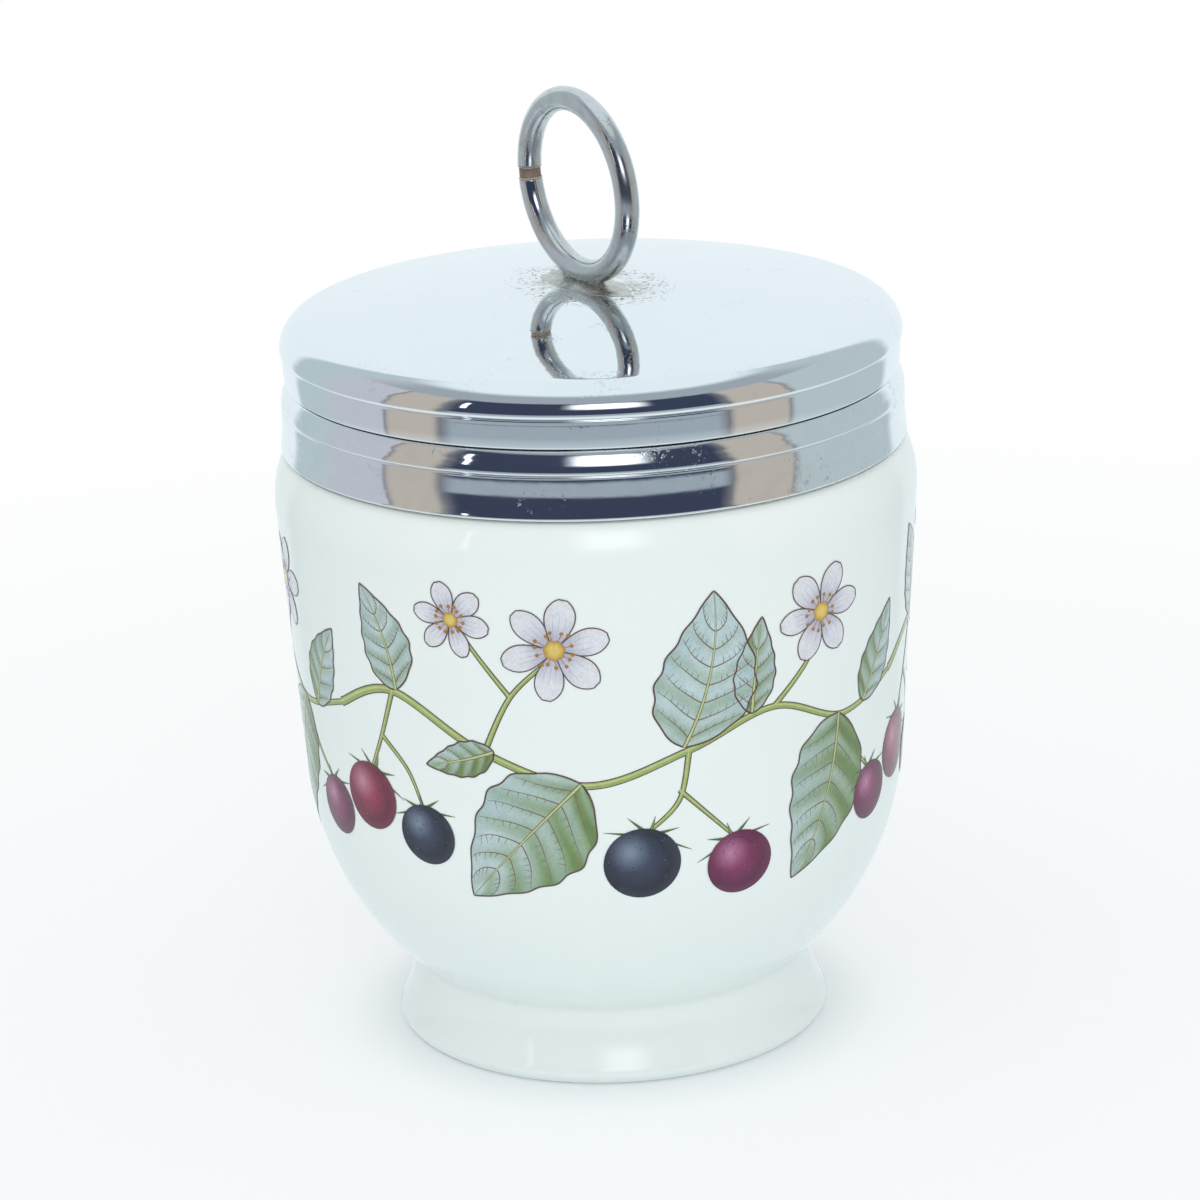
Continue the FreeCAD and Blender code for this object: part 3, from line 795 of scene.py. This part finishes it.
def thread_swell(foot, top, phase, depth, sign):
    """Rounded right-hand thread between two heights, fading out at both ends.

    phase is the height by which it is set off along the axis, and sign is 1 outwards, -1 inwards.
    """
    fade_in, fade_out, flat_share = 0.5, 0.4, 0.25

    def swell(r, z, angle):
        rise = min(1.0, max(0.0, (z - foot) / fade_in)) * min(1.0, max(0.0, (top - z) / fade_out))
        turn = ((z - foot - phase) / PITCH - angle / (2 * math.pi)) % 1.0
        wave = math.cos(2 * math.pi * (turn - 0.5))
        ridge = max(0.0, wave * (1 + flat_share) - flat_share)
        return sign * depth * rise * ridge
    return swell


def make_collar():
    crease = COLLAR_FOOT + 4.35
    wall = 0.6
    flare, flare_height = 0.2, 2.7
    under = FLANGE_TOP - wall
    inner = COLLAR_RADIUS - wall
    steps = [
        (inner, COLLAR_FOOT),
        (COLLAR_RADIUS, COLLAR_FOOT),
        (COLLAR_RADIUS + flare, COLLAR_FOOT + 0.2, QUARTER),
        (COLLAR_RADIUS + flare - 0.01, COLLAR_FOOT + 0.4, 0.1),
        (COLLAR_RADIUS, COLLAR_FOOT + flare_height, -0.04),
        (COLLAR_RADIUS - 0.01, crease - 0.22, 0.02),
        (COLLAR_RADIUS - 0.04, crease - 0.08, 0.2),
        (COLLAR_RADIUS - 0.13, crease),
        (COLLAR_RADIUS, crease + 0.3, 0.25),
        (COLLAR_RADIUS - 0.22, crease + 1.4, 0.1),
        (COLLAR_RADIUS - 0.52, FLANGE_TOP - 0.2, 0.06),
        (COLLAR_RADIUS - 0.8, FLANGE_TOP, 0.3),
        (SCREW_OUTER + 0.4, FLANGE_TOP),
        (SCREW_OUTER, FLANGE_TOP + 0.4, -QUARTER),
        (SCREW_OUTER, SCREW_TOP - 0.25),
        (SCREW_OUTER - 0.25, SCREW_TOP, QUARTER),
        (SCREW_INNER, SCREW_TOP),
        (SCREW_INNER, under),
        (inner, under),
        (inner, COLLAR_FOOT),
    ]
    outline = outline_points(steps, THREAD_STEP)[:-1]
    thread_foot = FLANGE_TOP + THREAD_RUN_OUT
    thread = thread_swell(thread_foot, SCREW_TOP - 0.2, 0.0, 0.45, 1)

    def swell(r, z, angle):
        """Thread on the screw neck, and a foot that flares unevenly."""
        if z < COLLAR_FOOT + flare_height + 0.2 and r > COLLAR_RADIUS + 0.001:
            uneven = 0.35 * math.sin(2 * angle + 0.6) * math.cos(3 * angle)
            return (r - COLLAR_RADIUS) * uneven
        on_neck = z > thread_foot and r > SCREW_OUTER - 0.05
        return thread(r, z, angle) if on_neck else 0.0

    collar = turned("plated_collar", outline, COLLAR_CHROME, "cup", swell)
    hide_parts("collar")


def dome_height(reach, top=DOME_TOP, radius=DOME_RADIUS):
    """Height of the dome at a distance from its axis."""
    return top - (radius - math.sqrt(radius ** 2 - reach ** 2))


def make_lid():
    edge, inner_edge = 28.4, 27.4
    inner_top = DOME_TOP - SHEET
    inner_radius = DOME_RADIUS - SHEET
    inner_crease = LID_CREASE - SHEET
    inner_skirt = SKIRT_RADIUS - SHEET
    bulge = math.tan(math.asin(edge / DOME_RADIUS) / 4)
    inner_bulge = math.tan(math.asin(inner_edge / inner_radius) / 4)
    foot = SKIRT_FOOT - SKIRT_DROP
    crease = LOW_CREASE - 0.33
    steps = [
        (inner_skirt, foot),
        (SKIRT_RADIUS - 0.34, foot),
        (SKIRT_RADIUS - 0.12, foot + 0.22, QUARTER),
        (SKIRT_RADIUS, crease - 0.25, 0.039),
        (SKIRT_RADIUS - 0.03, crease - 0.1, 0.2),
        (LID_CREASE + 0.17, crease),
        (LID_CREASE + 0.5, crease + 0.42, 0.25),
        (LID_CREASE + 0.29, crease + 1.5, 0.105),
        (LID_CREASE - 0.2, crease + 2.3, 0.057),
        (edge, dome_height(edge), 0.18),
        (0.0, DOME_TOP, bulge),
        (0.0, inner_top),
        (inner_edge, dome_height(inner_edge, inner_top, inner_radius), -inner_bulge),
        (inner_crease, HIGH_CREASE - 0.3, -0.18),
        (inner_crease, LOW_CREASE + 0.2, -0.5),
        (inner_skirt, LOW_CREASE - 0.3),
        (inner_skirt, foot),
    ]
    outline = outline_points(steps, 0.27)[:-1]
    lid = turned("plated_lid", outline, LID_CHROME, "lid")
    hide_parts("lid_shell")


def make_thread_ring():
    lip = THREAD_RING_FOOT + 0.6
    outer = LID_CREASE - SHEET - 0.03
    steps = [
        (THREAD_RING_INNER, THREAD_RING_FOOT),
        (SKIRT_RADIUS - SHEET, THREAD_RING_FOOT),
        (SKIRT_RADIUS - SHEET, lip),
        (outer, lip + 0.2),
        (outer, THREAD_RING_TOP),
        (THREAD_RING_INNER, THREAD_RING_TOP),
        (THREAD_RING_INNER, THREAD_RING_FOOT),
    ]
    outline = outline_points(steps, THREAD_STEP)[:-1]
    # Half a turn from the collar's thread, so that each lies in the other's groove
    phase = (PITCH / 2 + FLANGE_TOP + THREAD_RUN_OUT - THREAD_RING_FOOT) % PITCH
    thread = thread_swell(THREAD_RING_FOOT, THREAD_RING_TOP, phase, 0.4, -1)

    def swell(r, z, angle):
        return thread(r, z, angle) if r < THREAD_RING_INNER + 0.01 else 0.0

    ring = turned("threaded_ring", outline, CHROME, "lid", swell)
    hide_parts("lid_thread_ring")


def ring_place(angle, across, out):
    """Point beside the ring's wire, at an angle about the ring from its +X side.

    across is its distance off the ring's plane, and out its distance outside the wire's middle.
    """
    reach = RING_RADIUS + out
    rise = RING_RADIUS + WIRE_RADIUS + reach * math.sin(angle)
    y = across * math.cos(RING_LEAN) - rise * math.sin(RING_LEAN)
    z = across * math.sin(RING_LEAN) + rise * math.cos(RING_LEAN)
    return reach * math.cos(angle), y - RING_OFFSET, z + DOME_TOP + RING_LIFT


def wire_piece(name, first, last, radius, material, count):
    """Round wire along the ring from one angle to another, closed by rounded ends."""
    around = 40
    end_length, end_share = 0.12, 0.93
    corners = []
    faces = []
    for k in range(count + 1):
        share = k / count
        angle = first + (last - first) * share
        near = min(share, 1 - share) * abs(last - first) * RING_RADIUS
        edge = min(1.0, near / end_length)
        size = radius * (end_share + (1 - end_share) * math.sqrt(edge * (2 - edge)))
        for m in range(around):
            turn = 2 * math.pi * m / around
            corners.append(ring_place(angle, size * math.sin(turn), size * math.cos(turn)))
    for k in range(count):
        faces += band(k * around, (k + 1) * around, around)
    faces.append(list(range(around)))
    faces.append(list(range(count * around, (count + 1) * around))[::-1])
    return mesh_piece(name, corners, faces, material, "lid")


def make_ring():
    """Ring of wire, with a brazed joint and its two tan rims on the -X side."""
    half = BUTT_GAP / RING_RADIUS / 2
    upper, lower = math.pi - half, math.pi + half
    ring = wire_piece("wire_ring", lower, upper + 2 * math.pi, WIRE_RADIUS, RING_CHROME,
                      540)
    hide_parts("lifting_ring")
    braze = wire_piece("brown_braze", upper, lower, WIRE_RADIUS - 0.12, BRAZE, 16)
    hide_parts("ring_butt_braze")
    rim = BUTT_RIM / RING_RADIUS
    for name, start in (("braze_rim_low", lower - rim), ("braze_rim_high", upper)):
        wire_piece(name, start, start + rim, WIRE_RADIUS, BRAZE_RIM, 8)


def lump(x, y, scale, seed):
    """Smooth unevenness of about -1.5 to 1.5."""
    return (math.sin(x * scale + seed) * math.cos(y * scale * 1.3 - seed * 2)
            + 0.5 * math.sin(x * scale * 2.3 + y * scale * 1.9 + seed * 5))


def solder_rise(x, y):
    """Height of the solder over the dome: a thin film, with a web drawn up under the wire."""
    film_length, film_width, film_height = 6.4, 2.7, 0.34
    web_left, web_right, web_width = -5.3, 3.6, 0.85
    across = y + RING_OFFSET
    spread = math.hypot(x / film_length, across / film_width)
    spread += 0.07 * lump(x, y, 1.1, 0.4) + 0.03 * lump(x, y, 3.1, 1.7)
    film = film_height * max(0.0, 1 - spread ** 3) + 0.03 * lump(x, y, 2.2, 2.5)
    limit = web_left if x < 0 else web_right
    fade = min(1.0, max(0.0, (1 - x / limit) * 2.4)) if abs(x) < abs(limit) else 0.0
    wire = math.sqrt((RING_RADIUS + 0.75) ** 2 - min(abs(x), 6.0) ** 2)
    under = RING_RADIUS + WIRE_RADIUS - wire
    width = web_width + 0.12 * lump(x, y, 1.7, 3.3)
    web = (under + 0.1) * fade ** 0.6 * math.exp(-(across / width) ** 2)
    return max(film, web) if spread < 1.0 or fade > 0 else 0.0


def make_solder():
    """Solder round the ring's foot, as an uneven patch that lies on the dome."""
    around, rings = 120, 34
    half_length, half_width, depth, lift = 6.7, 2.9, 0.2, 0.012
    corners = [(0.0, -RING_OFFSET, DOME_TOP + solder_rise(0.0, -RING_OFFSET))]
    for ring in range(1, rings + 1):
        share = ring / rings
        for k in range(around):
            angle = 2 * math.pi * k / around
            ragged = (1 + 0.05 * math.sin(3 * angle + 1) + 0.035 * math.sin(7 * angle)
                      + 0.02 * math.sin(13 * angle))
            x = half_length * share * ragged * math.cos(angle)
            y = half_width * share * ragged * math.sin(angle) - RING_OFFSET
            rise = solder_rise(x, y) * (1 - share ** 6)
            corners.append((x, y, dome_height(math.hypot(x, y)) + lift + rise))
    faces = [(0, 1 + k, 1 + (k + 1) % around) for k in range(around)]
    for ring in range(rings - 1):
        faces += band(1 + ring * around, 1 + (ring + 1) * around, around)
    outer = 1 + (rings - 1) * around
    base = len(corners)
    corners += [(x, y, z - depth) for x, y, z in corners[outer:]]
    faces += band(outer, base, around)
    faces.append(tuple(range(base, base + around))[::-1])
    solder = mesh_piece("solder_film", corners, faces, SOLDER, "lid")
    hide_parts("ring_solder")


def make_seal():
    """Washer with softened edges, bevelled under the lid's shoulder."""
    low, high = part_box("lid_seal")
    inner, outer = MOUTH_RADIUS + 0.2, NECK_RADIUS + 1.2
    foot, top = low.z / MM, high.z / MM - 0.4
    soft = 0.15
    steps = [
        (inner + soft, foot),
        (outer - 0.1, foot),
        (outer, foot + 0.1, QUARTER),
        (outer - 0.1, foot + 0.2),
        (outer - 1.6, top - 0.02),
        (outer - 1.8, top, 0.2),
        (inner + soft, top),
        (inner, top - soft, QUARTER),
        (inner, foot + soft),
        (inner + soft, foot, QUARTER),
    ]
    outline = outline_points(steps, 0.2)[:-1]
    seal = turned("rubber_washer", outline, RUBBER, "seal")
    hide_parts("lid_seal")


make_cup()
make_print()
make_collar()
make_lid()
make_thread_ring()
make_ring()
make_solder()
make_seal()
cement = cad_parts["collar_cement"].data.materials
cement.clear()
cement.append(CEMENT)


# Floor, light and camera

CAMERA_REACH = 447.1 * MM
CAMERA_HEIGHT = 186.6 * MM
CAMERA_PITCH = math.radians(17.709)
CAMERA_ROLL = math.radians(-2.006)
CAMERA_LENS = 139.15

# Level directions towards the camera, and to the right as the camera sees it
TOWARDS_CAMERA = Vector((math.sin(CAMERA_AZIMUTH), -math.cos(CAMERA_AZIMUTH), 0))
CAMERA_SIDE = Vector((math.cos(CAMERA_AZIMUTH), math.sin(CAMERA_AZIMUTH), 0))

LAMP_DISTANCE = 0.9
LAMP_AIM_HEIGHT = 0.04


def make_camera():
    place = TOWARDS_CAMERA * CAMERA_REACH + Vector((0, 0, CAMERA_HEIGHT))
    level = -TOWARDS_CAMERA
    up = Vector((0, 0, 1))
    ahead = level * math.cos(CAMERA_PITCH) - up * math.sin(CAMERA_PITCH)
    above = level * math.sin(CAMERA_PITCH) + up * math.cos(CAMERA_PITCH)
    right = CAMERA_SIDE * math.cos(CAMERA_ROLL) + above * math.sin(CAMERA_ROLL)
    top = above * math.cos(CAMERA_ROLL) - CAMERA_SIDE * math.sin(CAMERA_ROLL)
    data = bpy.data.cameras.new("camera")
    data.lens = CAMERA_LENS
    data.clip_start = 0.01
    camera = bpy.data.objects.new("camera", data)
    turn = Matrix((right, top, -ahead)).transposed().to_4x4()
    camera.matrix_world = Matrix.Translation(place) @ turn
    bpy.context.scene.collection.objects.link(camera)
    bpy.context.scene.camera = camera


def position_around(nodes, links, vector):
    """Turn about Z from the camera's side, as a share from 0 to 1 with 0.5 towards the camera."""
    parts = []
    for axis in (CAMERA_SIDE, TOWARDS_CAMERA):
        dot = nodes.new("ShaderNodeVectorMath")
        dot.operation = "DOT_PRODUCT"
        links.new(vector, dot.inputs[0])
        dot.inputs[1].default_value = axis
        parts.append(dot.outputs["Value"])
    turn = math_node(nodes, links, "ARCTAN2", parts[0], parts[1])
    share = math_node(nodes, links, "MULTIPLY", turn, 0.5 / math.pi)
    return math_node(nodes, links, "ADD", share, 0.5)


# What stands round the object, as bright plating shows it
WHITE = (0.86, 0.94, 0.985)
LILAC = (0.55, 0.57, 0.64)
PALE_GREEN = (0.50, 0.60, 0.63)
BEIGE = (0.53, 0.48, 0.43)
GREY_GREEN = (0.50, 0.58, 0.61)
NAVY = (0.045, 0.056, 0.10)
PAPER_SHADE = (0.36, 0.42, 0.48)
LINTEL = (0.36, 0.41, 0.46)
ROOF = (0.84, 0.93, 0.98)
NEAR_FLOOR = (0.84, 0.92, 0.96)
PANE_LIGHT = (2.5, 2.6, 2.7)
WORLD_LIGHT = (0.78, 0.79, 0.79)


def room(front):
    """Colours by their turn from the camera's side in degrees, with front in the middle."""
    stops = [
        (-180, WHITE), (-138, WHITE),
        (-133, PALE_GREEN), (-115, PALE_GREEN),
        (-104, LILAC), (-80, LILAC),
        (-78.5, (0.2, 0.2, 0.24)),
        (-77, BEIGE), (-58, BEIGE),
        (-55, (0.2, 0.21, 0.24)),
        (-50, front), (-44, front), (44, front),
        (48, (0.2, 0.2, 0.22)),
        (50, BEIGE), (72, BEIGE),
        (73.5, (0.22, 0.22, 0.24)),
        (75, GREY_GREEN), (130, GREY_GREEN),
        (136, WHITE), (180, WHITE),
    ]
    return [(turn / 360 + 0.5, colour) for turn, colour in stops]


def make_floor():
    """Pale floor that shows gloss the room. Camera rays see a painted white glow over it that
    lightens the object's shadow, least at the foot, and turns plain white afar.
    """
    mesh = bpy.data.meshes.new("floor")
    reach = 3.0
    corners = [(-reach, -reach, 0), (reach, -reach, 0), (reach, reach, 0), (-reach, reach, 0)]
    mesh.from_pydata(corners, [], [(0, 1, 2, 3)])
    floor = bpy.data.objects.new("floor", mesh)
    bpy.context.scene.collection.objects.link(floor)
    material, nodes, links, shader = new_material("pale_floor")
    shader.inputs["Base Color"].default_value = (0.91, 0.955, 0.98, 1)
    shader.inputs["Roughness"].default_value = 0.6
    coordinates = nodes.new("ShaderNodeTexCoord").outputs["Object"]
    length = nodes.new("ShaderNodeVectorMath")
    length.operation = "LENGTH"
    links.new(coordinates, length.inputs[0])
    away = length.outputs["Value"]
    turn = position_around(nodes, links, coordinates)
    near_room = ramp(nodes, links, turn, room(PAPER_SHADE))
    far_room = ramp(nodes, links, turn, room(NAVY))
    edge = ramp(nodes, links, away, [(0.29, 0.0), (0.33, 1.0)])
    beyond = mix_colour(nodes, links, edge, near_room, far_room)
    fading = ramp(nodes, links, away, [(0.07, 0.0), (0.19, 1.0)])
    seen = mix_colour(nodes, links, fading, NEAR_FLOOR, beyond)
    glow = nodes.new("ShaderNodeEmission")
    links.new(seen, glow.inputs["Color"])
    mixed = nodes.new("ShaderNodeMixShader")
    path = nodes.new("ShaderNodeLightPath")
    links.new(path.outputs["Is Glossy Ray"], mixed.inputs["Fac"])
    links.new(shader.outputs[0], mixed.inputs[1])
    links.new(glow.outputs[0], mixed.inputs[2])
    # Painted light: a white glow that only camera rays see lightens the floor's shadow round the
    # object, least at the foot, and becomes plain white afar
    shadow_glow_stops = [(0.0215, 0.12), (0.029, 0.52), (0.1, 0.68), (0.24, 1.0)]
    shadow_glow_ramp = ramp(nodes, links, away, shadow_glow_stops)
    shadow_glow_share = math_node(nodes, links, "MULTIPLY", shadow_glow_ramp, path.outputs["Is Camera Ray"])
    white = nodes.new("ShaderNodeEmission")
    white.inputs["Color"].default_value = (1, 1, 1, 1)
    backdrop_and_shadow_glow = nodes.new("ShaderNodeMixShader")
    links.new(shadow_glow_share, backdrop_and_shadow_glow.inputs["Fac"])
    links.new(mixed.outputs[0], backdrop_and_shadow_glow.inputs[1])
    links.new(white.outputs[0], backdrop_and_shadow_glow.inputs[2])
    links.new(backdrop_and_shadow_glow.outputs[0], nodes["Material Output"].inputs["Surface"])
    mesh.materials.append(material)


def make_world():
    """White to the camera and even on dull surfaces, with the room's shapes for gloss to show."""
    world = bpy.data.worlds.new("studio")
    bpy.context.scene.world = world
    world.use_nodes = True
    nodes, links = world.node_tree.nodes, world.node_tree.links
    direction = nodes.new("ShaderNodeTexCoord").outputs["Generated"]
    turn = position_around(nodes, links, direction)
    height = nodes.new("ShaderNodeSeparateXYZ")
    links.new(direction, height.inputs[0])
    rise = math_node(nodes, links, "ARCSINE", height.outputs["Z"])
    rise = math_node(nodes, links, "MULTIPLY", rise, 180 / math.pi)
    degrees = math_node(nodes, links, "SUBTRACT", turn, 0.5)
    degrees = math_node(nodes, links, "MULTIPLY", degrees, 360.0)

    def patch(first, last, soft, foot, top, soft_rise):
        """Patch between two turns and two rises in degrees, each pair with its own soft edges."""
        around = between(nodes, links, degrees, first, last, soft)
        upwards = between(nodes, links, rise, foot, top, soft_rise)
        return math_node(nodes, links, "MULTIPLY", around, upwards)

    walls = ramp(nodes, links, turn, room(NAVY))
    lintel = patch(-100.0, 100.0, 20.0, 36.0, 60.0, 2.0)
    walls = mix_colour(nodes, links, lintel, walls, LINTEL)
    roof = between(nodes, links, rise, 58.0, 120.0, 6.0)
    shapes = mix_colour(nodes, links, roof, walls, ROOF)
    pane = patch(-6.0, 16.0, 7.0, 13.0, 32.0, 5.0)
    slit = patch(-48.5, -46.5, 0.5, 6.0, 26.0, 1.0)
    lights = math_node(nodes, links, "MAXIMUM", pane, slit)
    shapes = mix_colour(nodes, links, lights, shapes, PANE_LIGHT)
    path = nodes.new("ShaderNodeLightPath")
    seen = mix_colour(nodes, links, path.outputs["Is Glossy Ray"], WORLD_LIGHT, shapes)
    seen = mix_colour(nodes, links, path.outputs["Is Camera Ray"], seen, (1.0, 1.0, 1.0))
    background = nodes["Background"]
    background.inputs["Strength"].default_value = 1.0
    links.new(seen, background.inputs["Color"])


def area_light(name, azimuth, elevation, width, height, power):
    """Soft lamp that shines at the middle of the object. Angles are in degrees, sizes in metres."""
    data = bpy.data.lights.new(name, "AREA")
    data.shape = "RECTANGLE"
    data.size = width
    data.size_y = height
    data.energy = power
    lamp = bpy.data.objects.new(name, data)
    azimuth, elevation = math.radians(azimuth), math.radians(elevation)
    level = math.cos(elevation)
    place = LAMP_DISTANCE * Vector((
        math.sin(azimuth) * level, -math.cos(azimuth) * level, math.sin(elevation)))
    lamp.location = place + Vector((0, 0, LAMP_AIM_HEIGHT))
    lamp.rotation_euler = place.to_track_quat("Z", "Y").to_euler()
    lamp.visible_glossy = False
    bpy.context.scene.collection.objects.link(lamp)


make_camera()
make_floor()
make_world()
area_light("ceiling", azimuth=40, elevation=75, width=0.6, height=0.6, power=1.0)
area_light("window", azimuth=62, elevation=22, width=0.4, height=0.3, power=1.25)
bpy.context.scene.view_settings.view_transform = "Standard"
